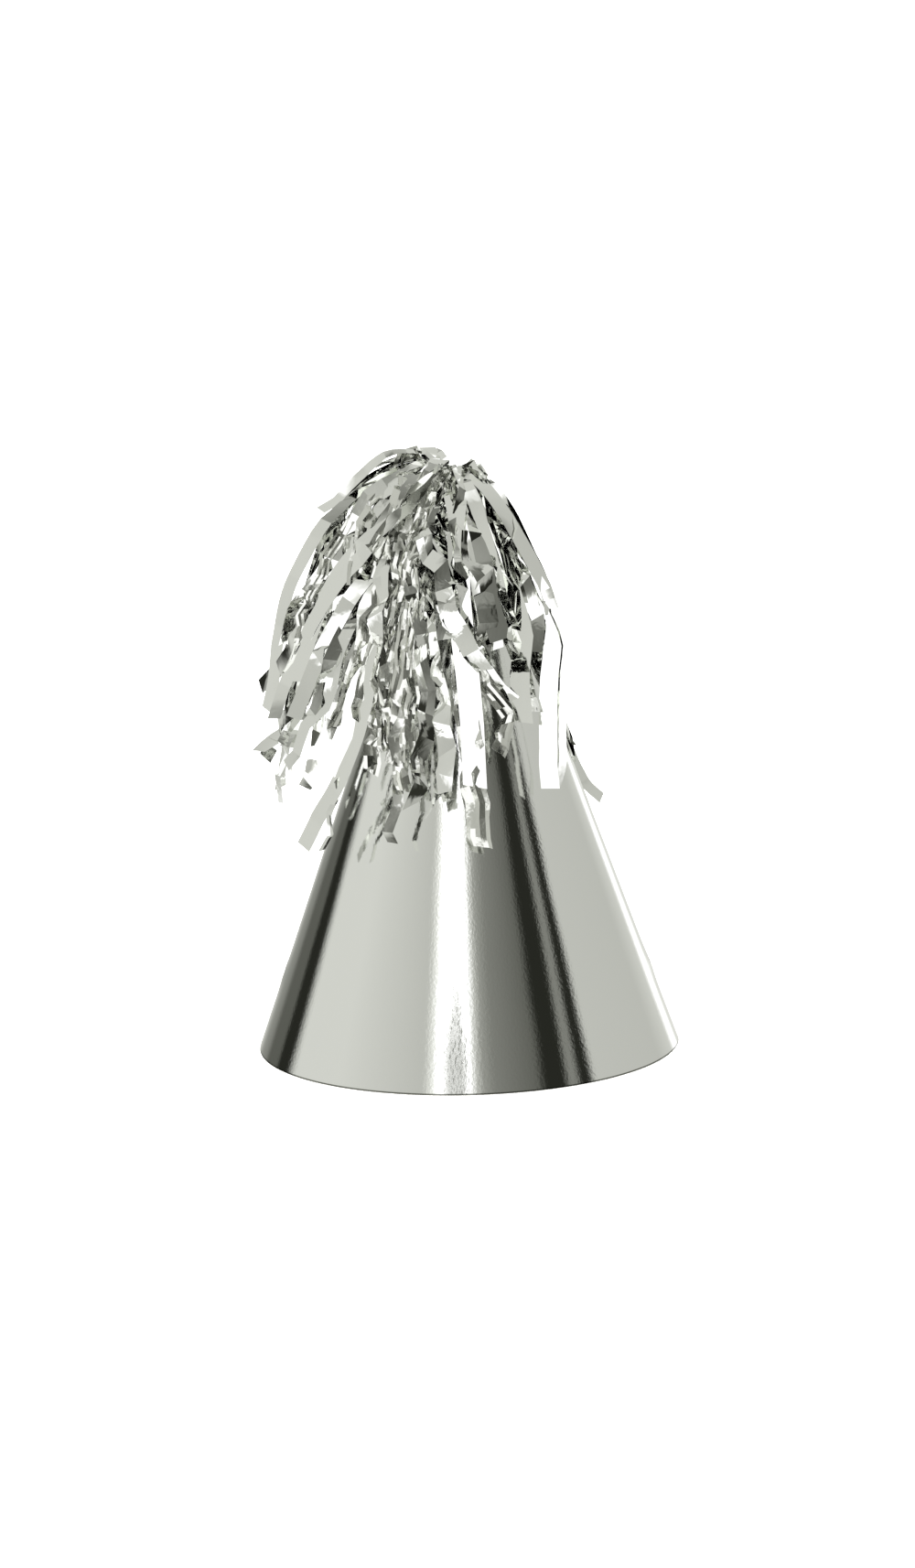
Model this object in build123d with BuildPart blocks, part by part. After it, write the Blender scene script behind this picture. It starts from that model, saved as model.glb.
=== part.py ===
"""A foil party hat: a rolled card cone with a glued back seam and a foil fringe in its tip.

A sector of white card, laminated with silver film, is rolled into a cone and glued along an
overlap at the back. The cone's tip is open. A bundle of slit film leaves is tied with wire,
pushed up through the tip from inside and held there by a ring of hot-melt glue. Above the tip
the leaves fold outwards, so that their strips hang around the cone in six locks, each three
leaves deep. Two punched holes near the rim take the chin elastic.

Frame: +Z up, origin at the centre of the rim's circle, where the hat stands on a table. The
front is -Y, the seam is at +Y, and the elastic's holes are on the X axis.
"""

from build123d import *
from math import atan, cos, degrees, radians, sin, tan
import os

# ---------------------------------------------------------------- cone
rim_diameter = 120.0  # outside of the film at the rim
apex_height = 172.0  # where the outside would come to a point
card_thickness = 0.38
film_thickness = 0.1
seam_glue_thickness = 0.1
seam_azimuth = 90.0  # where the inner end of the rolled card is
seam_overlap = 11.0  # degrees of the cone that the outer end laps over the inner one
seam_joggle = 2.5  # degrees over which the card climbs onto its own inner end
seam_dry_angle = 0.8  # left without glue at each side of the overlap
seam_dry_length = 1.5  # left without glue at the rim and at the tip
elastic_hole_diameter = 3.0
elastic_hole_height = 22.0
punch_travel = 4.0  # how far the cut runs to each side of the wall

# ---------------------------------------------------------------- fringe bundle
stem_diameter = 7.0  # the leaves' uncut ends, bound together
tip_clearance = 0.12  # between the bundle and the card at the tip
stem_length_below_tip = 23.0
stem_pleats = 12
pleat_groove_diameter = 0.9
pleat_stop_below_tip = 0.5  # the pleats close up where the bundle fills the tip
crown_diameter = 9.2  # the bundle's flare where the leaves fold over
crown_above_tip = 16.2
crown_dish = 1.6  # depth of the hollow in the crown

# ---------------------------------------------------------------- wire tie and glue
wire_diameter = 0.8
wire_wraps = 2
wrap_pitch = 0.72  # the wraps press a little into each other
tie_below_tip = 15.5
tail_diameter = 1.5  # the twisted end, two wires thick
tail_start = 0.8  # straight run before the tail bends down
tail_bend_radius = 2.2
tail_bend_angle = 80.0
tail_drop = 7.0
glue_top_below_tip = 1.2
glue_length = 9.5
glue_sag_radius = 9.0

# ---------------------------------------------------------------- fringe leaves
fold_clearance = 0.4  # between the crown and the start of each lock's leaves
leaf_thickness = 0.12
leaf_pitch = 1.3  # between the leaves of one lock at the fold
shoulder_fall = 0.92  # height lost for each mm out, from the fold to the shoulder
strip_width = 4.6
lock_half_angle = 24.0  # a lock keeps inside this wedge, so that lifted locks stay apart
cone_gap = 1.4  # the least distance of a strip's end from the cone, measured outwards
end_stagger = 7.0  # neighbouring strips differ in length by this much

# Each lock: name, azimuth of its middle, how far its outer leaf reaches from the axis at the
# shoulder, and how far outside the cone that leaf's ends hang.
locks = [
    ("front", -90.0, 30.0, 7.0),
    ("front_right", -30.0, 26.0, 4.5),
    ("back_right", 30.0, 26.0, 4.5),
    ("back", 90.0, 32.0, 8.0),
    ("back_left", 150.0, 43.0, 17.0),
    ("front_left", 210.0, 45.0, 18.0),
]
# Each leaf of a lock, from the top one down: name, its share of the lock's reach, its strips'
# bearings from the lock's middle in degrees, and how far its longest strips end above the rim.
leaves = [
    ("outer", 1.0, (-19.0, -9.5, 0.0, 9.5, 19.0), 84.0),
    ("middle", 0.72, (-14.0, -4.7, 4.7, 14.0), 70.0),
    ("inner", 0.46, (-18.0, -6.0, 6.0, 18.0), 92.0),
]

# ---------------------------------------------------------------- worked out from those
rim_radius = rim_diameter / 2
flare = rim_radius / apex_height  # radius gained for each mm below the apex
half_angle = degrees(atan(flare))
stem_radius = stem_diameter / 2
crown_radius = crown_diameter / 2
fold_distance = crown_radius + fold_clearance

# Depths below the cone's outside, square to the wall.
outside = 0.0
card_face = film_thickness
inside = film_thickness + card_thickness
seam_rise = inside + seam_glue_thickness


def cone_radius(height, depth=outside):
    """Radius of the cone at a height, at a depth below its outside face."""
    return (apex_height - height) * flare - depth / cos(radians(half_angle))


tip_height = apex_height - (
    (stem_radius + tip_clearance + inside / cos(radians(half_angle))) / flare
)
stem_bottom = tip_height - stem_length_below_tip
crest_height = tip_height + crown_above_tip


def radial_plane(azimuth):
    """The upright plane through the axis at an azimuth: its X runs outwards, its Y upwards."""
    a = radians(azimuth)
    return Plane(origin=(0, 0, 0), x_dir=(cos(a), sin(a), 0), z_dir=(sin(a), -cos(a), 0))


# ---------------------------------------------------------------- rolled cone
def wall_section(azimuth, outer, inner, bottom=0.0, top=tip_height):
    """A slice of the cone's wall between two depths, on the radial plane at an azimuth."""
    with BuildSketch(radial_plane(azimuth)) as section:
        with BuildLine():
            Polyline(
                (cone_radius(bottom, inner), bottom),
                (cone_radius(bottom, outer), bottom),
                (cone_radius(top, outer), top),
                (cone_radius(top, inner), top),
                close=True,
            )
        make_face()
    return section.sketch


def rolled_layer(outer, inner):
    """Adds a layer of the rolled blank: round the cone, up over its inner end, and the overlap.

    The depths are those of the layer's two faces.
    """
    foot = wall_section(seam_azimuth - seam_joggle, outer, inner)
    lap = wall_section(seam_azimuth, outer - seam_rise, inner - seam_rise)
    revolve(wall_section(seam_azimuth, outer, inner), Axis.Z, 360 - seam_joggle)
    loft([foot.face(), lap.face()], ruled=True)
    revolve(lap, Axis.Z, seam_overlap)


def punch_elastic_holes():
    """Cuts the two elastic holes, square to the wall, through the part being built."""
    for side in (0.0, 180.0):
        upright = radial_plane(side)
        place = upright.from_local_coords(
            Vector(cone_radius(elastic_hole_height), elastic_hole_height)
        )
        outwards = (
            cos(radians(half_angle)) * upright.x_dir + sin(radians(half_angle)) * upright.y_dir
        )
        with BuildSketch(Plane(origin=place, z_dir=outwards)) as hole:
            Circle(elastic_hole_diameter / 2)
        extrude(hole.sketch, amount=punch_travel, both=True, mode=Mode.SUBTRACT)


with BuildPart() as card_cone:
    rolled_layer(card_face, inside)
    punch_elastic_holes()

with BuildPart() as film_laminate:
    rolled_layer(outside, card_face)
    punch_elastic_holes()

glued_strip = wall_section(
    seam_azimuth + seam_dry_angle,
    outside - seam_glue_thickness,
    outside,
    bottom=seam_dry_length,
    top=tip_height - seam_dry_length,
)
with BuildPart() as seam_glue:
    revolve(glued_strip, Axis.Z, seam_overlap - 2 * seam_dry_angle)

# ---------------------------------------------------------------- fringe bundle in the tip
with BuildPart() as fringe_stem:
    with BuildSketch(Plane.XZ):
        with BuildLine():
            Polyline(
                (0, crest_height - crown_dish),
                (0, stem_bottom),
                (stem_radius, stem_bottom),
                (stem_radius, tip_height),
            )
            TangentArc(
                (stem_radius, tip_height), (crown_radius, crest_height), tangent=(0, 1)
            )
            TangentArc(
                (0, crest_height - crown_dish), (crown_radius, crest_height), tangent=(1, 0)
            )
        make_face()
    revolve(axis=Axis.Z)
    with BuildSketch(Plane.XY.offset(stem_bottom)):
        with PolarLocations(stem_radius, stem_pleats):
            Circle(pleat_groove_diameter / 2)
    extrude(amount=stem_length_below_tip - pleat_stop_below_tip, mode=Mode.SUBTRACT)

tie_height = tip_height - tie_below_tip
wrap_radius = stem_radius + wire_diameter / 2
with BuildPart() as wire_tie:
    for wrap in range(wire_wraps):
        with Locations((0, 0, tie_height + wrap * wrap_pitch)):
            Torus(wrap_radius, wire_diameter / 2)
    with BuildLine(Plane.XZ) as tail_path:
        run = Line((wrap_radius, tie_height), (wrap_radius + tail_start, tie_height))
        bend = JernArc(run @ 1, run % 1, tail_bend_radius, -tail_bend_angle)
        Line(bend @ 1, bend @ 1 + tail_drop * (bend % 1))
    with BuildSketch(Plane(origin=tail_path.line @ 0, z_dir=tail_path.line % 0)):
        Circle(tail_diameter / 2)
    sweep()

glue_top = tip_height - glue_top_below_tip
glue_bottom = glue_top - glue_length
with BuildPart() as tip_glue:
    with BuildSketch(Plane.XZ):
        with BuildLine():
            Polyline(
                (stem_radius, glue_bottom),
                (stem_radius, glue_top),
                (cone_radius(glue_top, inside), glue_top),
                (cone_radius(glue_bottom, inside), glue_bottom),
            )
            RadiusArc(
                (cone_radius(glue_bottom, inside), glue_bottom),
                (stem_radius, glue_bottom),
                -glue_sag_radius,
            )
        make_face()
    revolve(axis=Axis.Z)

# ---------------------------------------------------------------- what is written
pieces = {
    "card_cone": card_cone.part,
    "film_laminate": film_laminate.part,
    "seam_glue": seam_glue.part,
    "fringe_stem": fringe_stem.part,
    "wire_tie": wire_tie.part,
    "tip_glue": tip_glue.part,
}

# ---------------------------------------------------------------- fringe leaves
wedge_length = 2 * rim_diameter
wedge_half_width = wedge_length * tan(radians(lock_half_angle))
for lock_name, azimuth, reach, overhang in locks:
    for level, (leaf_name, share, bearings, lowest) in enumerate(leaves):
        # The plan outline of each strip, standing on the strip's end.
        with BuildPart() as strips:
            for number, bearing in enumerate(bearings):
                end_height = lowest + end_stagger * (number % 2)
                turned = Plane.XY.offset(end_height).rotated((0, 0, azimuth + bearing))
                with BuildSketch(turned):
                    Rectangle(wedge_length, strip_width, align=(Align.MIN, Align.CENTER))
                extrude(amount=apex_height)

        fold_height = crest_height - leaf_thickness / 2 - level * leaf_pitch
        shoulder_out = share * (reach - fold_distance)
        shoulder = (fold_distance + shoulder_out, fold_height - shoulder_fall * shoulder_out)
        tips = (cone_radius(lowest) + cone_gap + share**2 * overhang, lowest)
        with BuildPart() as fringe_leaf:
            with BuildSketch(radial_plane(azimuth)):
                with BuildLine():
                    over = TangentArc((fold_distance, fold_height), shoulder, tangent=(1, 0))
                    TangentArc(shoulder, tips, tangent=over % 1)
                trace(line_width=leaf_thickness)
            extrude(amount=reach, both=True)
            with BuildSketch(Plane.XY.rotated((0, 0, azimuth))):
                with BuildLine():
                    Polyline(
                        (0, 0),
                        (wedge_length, -wedge_half_width),
                        (wedge_length, wedge_half_width),
                        close=True,
                    )
                make_face()
            extrude(amount=2 * apex_height, mode=Mode.INTERSECT)
            add(strips.part, mode=Mode.INTERSECT)
        pieces[f"leaf_{lock_name}_{leaf_name}"] = fringe_leaf.part

os.makedirs("parts", exist_ok=True)
for name, piece in pieces.items():
    piece.label = name
    export_step(piece, f"parts/{name}.step")

print(f"tip cut at {tip_height:.2f} mm, half angle {half_angle:.2f} degrees")
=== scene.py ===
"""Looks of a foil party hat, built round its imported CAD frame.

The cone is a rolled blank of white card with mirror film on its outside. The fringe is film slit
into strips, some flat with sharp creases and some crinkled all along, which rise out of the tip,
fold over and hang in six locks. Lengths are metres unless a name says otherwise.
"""

from __future__ import annotations

import logging
import math
import random
from bisect import bisect_right
from dataclasses import dataclass, field
from enum import Enum
from typing import Any, Sequence

import bpy
from bpy.types import ColorRamp, Material, Mesh, Node, NodeSocket, NodeTree, Object
from mathutils import Matrix, Vector, noise

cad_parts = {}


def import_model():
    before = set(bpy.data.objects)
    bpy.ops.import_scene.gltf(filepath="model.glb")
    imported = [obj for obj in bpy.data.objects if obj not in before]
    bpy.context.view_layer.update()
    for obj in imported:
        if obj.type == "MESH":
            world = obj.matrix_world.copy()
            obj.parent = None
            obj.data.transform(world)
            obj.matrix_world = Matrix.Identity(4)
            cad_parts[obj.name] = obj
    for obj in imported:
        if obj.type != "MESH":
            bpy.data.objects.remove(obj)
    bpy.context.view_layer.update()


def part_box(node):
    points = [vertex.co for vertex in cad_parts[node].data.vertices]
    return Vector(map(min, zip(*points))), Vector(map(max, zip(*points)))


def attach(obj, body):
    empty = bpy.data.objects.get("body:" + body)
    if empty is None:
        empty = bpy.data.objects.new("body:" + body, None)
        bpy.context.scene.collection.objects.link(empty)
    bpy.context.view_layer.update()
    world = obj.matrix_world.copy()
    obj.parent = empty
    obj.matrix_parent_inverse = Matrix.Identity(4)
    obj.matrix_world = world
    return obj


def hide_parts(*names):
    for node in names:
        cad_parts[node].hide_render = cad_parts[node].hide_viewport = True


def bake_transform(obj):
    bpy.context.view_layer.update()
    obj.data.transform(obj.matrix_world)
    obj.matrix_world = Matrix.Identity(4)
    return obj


LOG = logging.getLogger("party_hat")
MM = 0.001
UP = Vector((0, 0, 1))


# ------------------------------------------------------------------ small helpers
def linear(hex_colour: str) -> tuple[float, float, float, float]:
    """Turns an sRGB hex colour into linear RGBA.

    Args:
        hex_colour: Six hex digits.

    Returns:
        Linear red, green and blue, and an alpha of 1.
    """
    values = [int(hex_colour[i : i + 2], 16) / 255 for i in (0, 2, 4)]
    r, g, b = (v / 12.92 if v <= 0.04045 else ((v + 0.055) / 1.055) ** 2.4 for v in values)
    return r, g, b, 1.0


def around(azimuth: float, radius: float = 1.0, height: float = 0.0) -> Vector:
    """The point at an azimuth in radians, a radius and a height."""
    return Vector((radius * math.cos(azimuth), radius * math.sin(azimuth), height))


def toward(degrees: float) -> Vector:
    """The level direction at an azimuth in degrees."""
    return around(math.radians(degrees))


def ramped(value: float, start: float, full: float) -> float:
    """How far a value is from start to full, kept between 0 and 1."""
    return min(1.0, max(0.0, (value - start) / (full - start)))


def fill(tree: NodeTree, node: Node, inputs: dict[str | int, Any]) -> None:
    """Sets or links a node's sockets.

    Args:
        tree: The tree that the node is in.
        node: The node.
        inputs: Socket name or number to a value, to a socket to link, or to a node, whose first
            output is linked.
    """
    for name, value in inputs.items():
        source = value.outputs[0] if isinstance(value, Node) else value
        if isinstance(source, NodeSocket):
            tree.links.new(source, node.inputs[name])
        else:
            node.inputs[name].default_value = value


def add_node(
    tree: NodeTree,
    kind: str,
    inputs: dict[str | int, Any] | None = None,
    **settings: Any,
) -> Node:
    """Adds a node, with its settings and what goes into its sockets.

    Args:
        tree: The node tree to add to.
        kind: The node's type, without the ShaderNode prefix.
        inputs: What goes into its sockets, as fill takes it.
        **settings: Attributes to set on the node.

    Returns:
        The new node.
    """
    node = tree.nodes.new("ShaderNode" + kind)
    for name, value in settings.items():
        setattr(node, name, value)
    fill(tree, node, inputs or {})
    return node


def new_material(name: str) -> tuple[Material, NodeTree, Node]:
    """Makes an empty material.

    Args:
        name: What the real material is called.

    Returns:
        The material, its node tree, and its Principled shader, linked to the output.
    """
    material = bpy.data.materials.new(name)
    material.use_nodes = True
    tree = material.node_tree
    tree.nodes.clear()
    shader = add_node(tree, "BsdfPrincipled")
    add_node(tree, "OutputMaterial", {"Surface": shader})
    return material, tree, shader


def select_nothing() -> None:
    """Deselects everything, since an operator acts on all that is selected."""
    for other in list(bpy.context.selected_objects):
        other.select_set(False)


def select_only(piece: Object) -> None:
    """Makes a piece the only selected and active object.

    Args:
        piece: The piece.
    """
    select_nothing()
    piece.select_set(True)
    bpy.context.view_layer.objects.active = piece


def apply_modifier(piece: Object, kind: str, **settings: Any) -> None:
    """Adds a modifier with its settings and applies it.

    Args:
        piece: The mesh to change.
        kind: The modifier's type.
        **settings: Attributes to set on the modifier.
    """
    select_only(piece)
    modifier = piece.modifiers.new(kind.lower(), kind)
    for name, value in settings.items():
        setattr(modifier, name, value)
    bpy.ops.object.modifier_apply(modifier=modifier.name)


def shade_by_angle(piece: Object, degrees: float) -> None:
    """Shades a piece smooth, but for edges sharper than an angle."""
    select_only(piece)
    bpy.ops.object.shade_smooth_by_angle(angle=math.radians(degrees))


def map_flat(mesh: Mesh, places: Sequence[tuple[float, float]]) -> None:
    """Gives a mesh one UV map, called flat, in metres.

    Args:
        mesh: The mesh.
        places: Where each of its points lies on the flat card or film.
    """
    while len(mesh.uv_layers):
        mesh.uv_layers.remove(mesh.uv_layers[0])
    layer = mesh.uv_layers.new(name="flat")
    for loop in mesh.loops:
        layer.data[loop.index].uv = places[loop.vertex_index]


def dress(piece: Object, material: Material) -> None:
    """Gives a piece one material all over."""
    piece.data.materials.clear()
    piece.data.materials.append(material)


def hold(piece: Object, node: str) -> None:
    """Fixes a piece to the hat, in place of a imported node.

    Args:
        piece: The piece.
        node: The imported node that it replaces.
    """
    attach(piece, "hat")
    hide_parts(node)


# ------------------------------------------------------------------ studio
@dataclass(frozen=True)
class Studio:
    """A white room: pale floor, soft overhead light, and grey and black cards all round.

    Film is a mirror, so the cards are what the eye sees on it. They stand in three rows under a
    grey roof. Each entry of a row is a bearing in degrees from the camera's side, positive towards
    +X, and the tone there. joins says between which rises of the line of sight the middle row gives
    way to the low one, to the high one and to the roof. A white card shines headroom times as
    bright as white paper.
    """

    target: tuple[float, float, float] = (-0.00146, 0.0, 0.07587)
    distance: float = 2.5
    elevation: float = 12.58
    lens: float = 201.65
    sensor: float = 36.0
    roll: float = -1.51
    clip_end: float = 100.0
    floor_size: float = 16.0
    floor_drop: float = 0.2 * MM
    floor_colour: str = "f4f4f2"
    floor_roughness: float = 0.9
    floor_glow: float = 0.25
    headroom: float = 1.3
    roof: str = "d1d2cc"
    white: str = "ffffff"
    lamp_power: float = 160.0
    lamp_height: float = 2.6
    lamp_size: float = 2.4
    joins: tuple[tuple[float, float], ...] = ((-0.17, -0.21), (0.47, 0.54), (0.86, 0.93))
    cards: tuple[tuple[float, str], ...] = (
        (-180, "eeefe9"), (-171, "d1d2cc"), (-164, "aeafa9"), (-157, "8e8f89"), (-148, "7e7f79"),
        (-142.5, "5a5b55"), (-131, "5a5b55"), (-128, "262722"), (-118.5, "262722"),
        (-112, "c8c9c3"), (-110, "d1d2cc"), (-78, "d1d2cc"), (-27, "babbb5"), (-21.5, "eeefe9"),
        (-20, "ffffff"), (-1, "ffffff"), (3, "c8c9c3"), (7, "969791"), (14, "7c7d77"),
        (37.5, "60615b"), (43, "262722"), (54.2, "262722"), (57.5, "7e7f79"), (61.3, "7e7f79"),
        (64.2, "262722"), (69.2, "262722"), (73.5, "bebfb9"), (126, "babbb5"), (144, "cdcec8"),
        (150, "ffffff"), (155, "ffffff"), (160, "dcddd7"),
    )  # fmt: skip
    low_cards: tuple[tuple[float, str], ...] = (
        (-180, "c8c9c3"), (-132, "8c8d87"), (-122, "60615b"), (-112, "d1d2cc"), (-72, "cccdc7"),
        (-60, "ffffff"), (4, "ffffff"), (10, "aeafa9"), (34, "7a7b75"), (44, "30312b"),
        (54, "30312b"), (64, "b4b5af"), (130, "c1c2bc"), (150, "ffffff"),
    )  # fmt: skip
    high_cards: tuple[tuple[float, str], ...] = (
        (-180, "b4b5af"), (-135, "8c8d87"), (-118, "6e6f69"), (-98, "c8c9c3"), (-50, "d1d2cc"),
        (-34, "ffffff"), (-6, "ffffff"), (6, "b4b5af"), (36, "8c8d87"), (52, "60615b"),
        (72, "7e7f79"), (92, "bebfb9"), (140, "cccdc7"),
    )  # fmt: skip

    def build(self) -> None:
        """Sets up the camera, the surroundings, the lamp and the floor."""
        self._camera()
        self._surroundings()
        self._lamp()
        self._floor()

    def _camera(self) -> None:
        """Aims the camera from the front and a little above, with its slight lean."""
        rise, lean = math.radians(self.elevation), math.radians(self.roll)
        back = Vector((0, -math.cos(rise), math.sin(rise)))
        level = Vector((1, 0, 0))
        right = level * math.cos(lean) + back.cross(level) * math.sin(lean)
        data = bpy.data.cameras.new("camera")
        data.lens, data.sensor_width, data.clip_end = self.lens, self.sensor, self.clip_end
        camera = bpy.data.objects.new("camera", data)
        bpy.context.scene.collection.objects.link(camera)
        turn = Matrix((right, back.cross(right), back)).transposed().to_4x4()
        camera.matrix_world = Matrix.Translation(Vector(self.target) + back * self.distance) @ turn
        bpy.context.scene.camera = camera
        bpy.context.scene.view_settings.view_transform = "Standard"

    def _surroundings(self) -> None:
        """Wraps the cards and the roof round the scene, which the camera itself sees as white."""
        world = bpy.data.worlds.new("studio")
        bpy.context.scene.world = world
        world.use_nodes = True
        tree = world.node_tree
        tree.nodes.clear()
        where = add_node(tree, "TexCoord")
        axes = add_node(tree, "SeparateXYZ", {0: where.outputs["Generated"]})
        ahead = add_node(tree, "Math", {0: axes.outputs["Y"], 1: -1.0}, operation="MULTIPLY")
        bearing = add_node(tree, "Math", {0: axes.outputs["X"], 1: ahead}, operation="ARCTAN2")
        turned = add_node(tree, "MapRange", {0: bearing, 1: -math.pi, 2: math.pi})
        rows: list[Any] = []
        for cards in (self.cards, self.low_cards, self.high_cards):
            rows.append(add_node(tree, "ValToRGB", {0: turned}))
            self._fill_ramp(rows[-1].color_ramp, cards)
        rows.append(self._tone(self.roof))
        walls = rows[0]
        for row, (start, full) in zip(rows[1:], self.joins):
            share = add_node(tree, "MapRange", {0: axes.outputs["Z"], 1: start, 2: full})
            blend = add_node(tree, "Mix", {0: share, 6: walls, 7: row}, data_type="RGBA")
            walls = blend.outputs[2]
        tone = add_node(tree, "Background", {"Color": walls, "Strength": self.headroom})
        white = add_node(tree, "Background", {"Color": linear(self.white), "Strength": 1.0})
        path = add_node(tree, "LightPath")
        seen = add_node(tree, "MixShader", {0: path.outputs["Is Camera Ray"], 1: tone, 2: white})
        add_node(tree, "OutputWorld", {"Surface": seen})

    def _tone(self, tone: str) -> tuple[float, float, float, float]:
        """Scales a card's colour to the room's strength, so that only white ones shine brighter.

        Args:
            tone: The card's hex colour.

        Returns:
            Its linear colour.
        """
        lift = 1.0 if tone == self.white else 1 / self.headroom
        r, g, b, _ = linear(tone)
        return r * lift, g * lift, b * lift, 1.0

    def _fill_ramp(self, ramp: ColorRamp, cards: Sequence[tuple[float, str]]) -> None:
        """Puts the cards on a colour ramp that runs once round the room.

        Args:
            ramp: The ramp.
            cards: Each card's bearing in degrees, and its tone.
        """
        while len(ramp.elements) > 1:
            ramp.elements.remove(ramp.elements[-1])
        for number, (bearing, tone) in enumerate(cards):
            place = (bearing + 180) / 360
            stop = ramp.elements[0] if number == 0 else ramp.elements.new(place)
            stop.position = place
            stop.color = self._tone(tone)

    def _lamp(self) -> None:
        """Hangs a large soft lamp overhead, which the film doesn't mirror."""
        data = bpy.data.lights.new("overhead_softbox", "AREA")
        data.shape, data.size, data.energy = "DISK", self.lamp_size, self.lamp_power
        lamp = bpy.data.objects.new("overhead_softbox", data)
        bpy.context.scene.collection.objects.link(lamp)
        lamp.location = (0, 0, self.lamp_height)
        lamp.visible_glossy = lamp.visible_camera = False

    def _floor(self) -> None:
        """Lays a matte white sheet under the hat, which the film doesn't mirror."""
        select_nothing()
        bpy.ops.mesh.primitive_plane_add(size=self.floor_size, location=(0, 0, -self.floor_drop))
        floor = bpy.context.object
        floor.name = "floor"
        bpy.ops.object.transform_apply(location=True, rotation=True, scale=True)
        # Uncoated paper has no gloss. It glows a little, and so stays white under the hat.
        material, tree, shader = new_material("matte_white_paper_sweep")
        sockets = {
            "Base Color": linear(self.floor_colour),
            "Roughness": self.floor_roughness,
            "Specular IOR Level": 0.0,
            "Emission Color": linear(self.white),
            "Emission Strength": self.floor_glow,
        }
        fill(tree, shader, sockets)
        dress(floor, material)
        floor.visible_glossy = False


# ------------------------------------------------------------------ finishes
@dataclass(frozen=True)
class LaminatedFilm:
    """Aluminised polyester film glued on card: a bright mirror with the card's grain under it.

    grain is the card's, ripple the glue's under the film, painted_rim_shade the width of the
    painted shade along the rim and painted_rim_shade_colour its colour, and scuff the wedge that
    handling
    crushed at the front: its place round the cone, its half width at the rim and at its top, and
    its height.
    """

    colour: str = "fdfefc"
    roughness: float = 0.045
    grain_across: float = 0.7 * MM
    grain_along: float = 1.0 * MM
    grain_depth: float = 0.017 * MM
    ripple: float = 5.0 * MM
    ripple_depth: float = 0.006 * MM
    painted_rim_shade: float = 0.45 * MM
    painted_rim_shade_colour: str = "7e7f79"
    scuff_at: float = 141.4 * MM
    scuff_half: float = 2.3 * MM
    scuff_tip: float = 0.3 * MM
    scuff_top: float = 34 * MM
    scuff_grain: float = 0.8 * MM
    scuff_depth: float = 0.60 * MM
    scuff_dulled: float = 0.6

    def material(self) -> Material:
        """Makes the finish, on the piece's UV map in metres: along u round the cone, v up it.

        Returns:
            The material.
        """
        material, tree, shader = new_material("aluminised_film_laminated_on_card")
        place = add_node(tree, "UVMap", uv_map="flat")
        axes = add_node(tree, "SeparateXYZ", {0: place})
        crushed = self._scuff(tree, axes)
        # The card's grain runs up the cone; it frays the edge of every reflection.
        drawn = (1 / self.grain_across, 1 / self.grain_along, 1.0)
        grid = add_node(tree, "Mapping", {0: place, "Scale": drawn})
        grain = add_node(tree, "TexNoise", {"Vector": grid, "Scale": 1.0, "Detail": 3.0})
        ripple = add_node(
            tree, "TexNoise", {"Vector": place, "Scale": 1 / self.ripple, "Detail": 1.0}
        )
        bumps = (
            (ripple, self.ripple_depth),
            (self._crumple(tree, place, crushed), self.scuff_depth),
            (grain, self.grain_depth),
        )
        normal: dict[str | int, Any] = {}
        for height, depth in bumps:
            bump = add_node(tree, "Bump", {"Height": height, "Distance": depth, **normal})
            normal = {"Normal": bump}
        # Crushed film is dulled by cracks too fine to see one by one.
        gloss = add_node(tree, "MapRange", {0: crushed, 3: self.roughness, 4: self.scuff_dulled})
        # The thin dark line along the rim is painted shade: the film's colour is darkened over its
        # lowest fraction of a millimetre.
        clear = add_node(tree, "MapRange", {0: axes.outputs["Y"], 1: 0.6 * self.painted_rim_shade, 2: self.painted_rim_shade})
        tones = {6: linear(self.painted_rim_shade_colour), 7: linear(self.colour)}
        tint = add_node(tree, "Mix", {0: clear, **tones}, data_type="RGBA").outputs[2]
        fill(tree, shader, {"Base Color": tint, "Metallic": 1.0, "Roughness": gloss, **normal})
        return material

    def _scuff(self, tree: NodeTree, axes: Node) -> Node:
        """Marks the crushed wedge that handling left at the front, widest at the rim.

        Args:
            tree: The material's nodes.
            axes: The flat map's place, round the cone and up it.

        Returns:
            The node that says how crushed the film is, from 0 to 1.
        """
        height, top = axes.outputs["Y"], self.scuff_top
        off = add_node(tree, "Math", {0: axes.outputs["X"], 1: self.scuff_at}, operation="SUBTRACT")
        away = add_node(tree, "Math", {0: off}, operation="ABSOLUTE")
        sides = {3: self.scuff_half, 4: self.scuff_tip}
        wide = add_node(tree, "MapRange", {0: height, 1: 0.35 * top, 2: top, **sides})
        ratio = add_node(tree, "Math", {0: away, 1: wide}, operation="DIVIDE")
        near = add_node(tree, "MapRange", {0: ratio, 1: 1.3, 2: 0.5})
        below = add_node(tree, "MapRange", {0: height, 1: top, 2: 0.2 * top})
        return add_node(tree, "Math", {0: near, 1: below}, operation="MULTIPLY")

    def _crumple(
        self, tree: NodeTree, place: Node, crushed: Node
    ) -> Node:
        """Makes the height of the crushed wedge's crumples, drawn coarse enough to show.

        Args:
            tree: The material's nodes.
            place: The flat map.
            crushed: How crushed the film is.

        Returns:
            The node of the height.
        """
        drawn = (1 / self.scuff_grain, 0.4 / self.scuff_grain, 1.0)
        grid = add_node(tree, "Mapping", {0: place, "Scale": drawn})
        crush = add_node(tree, "TexNoise", {"Vector": grid, "Scale": 1.0, "Detail": 2.0})
        level = add_node(tree, "Math", {0: crush, 1: 0.5}, operation="SUBTRACT")
        return add_node(tree, "Math", {0: level, 1: crushed}, operation="MULTIPLY")


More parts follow.
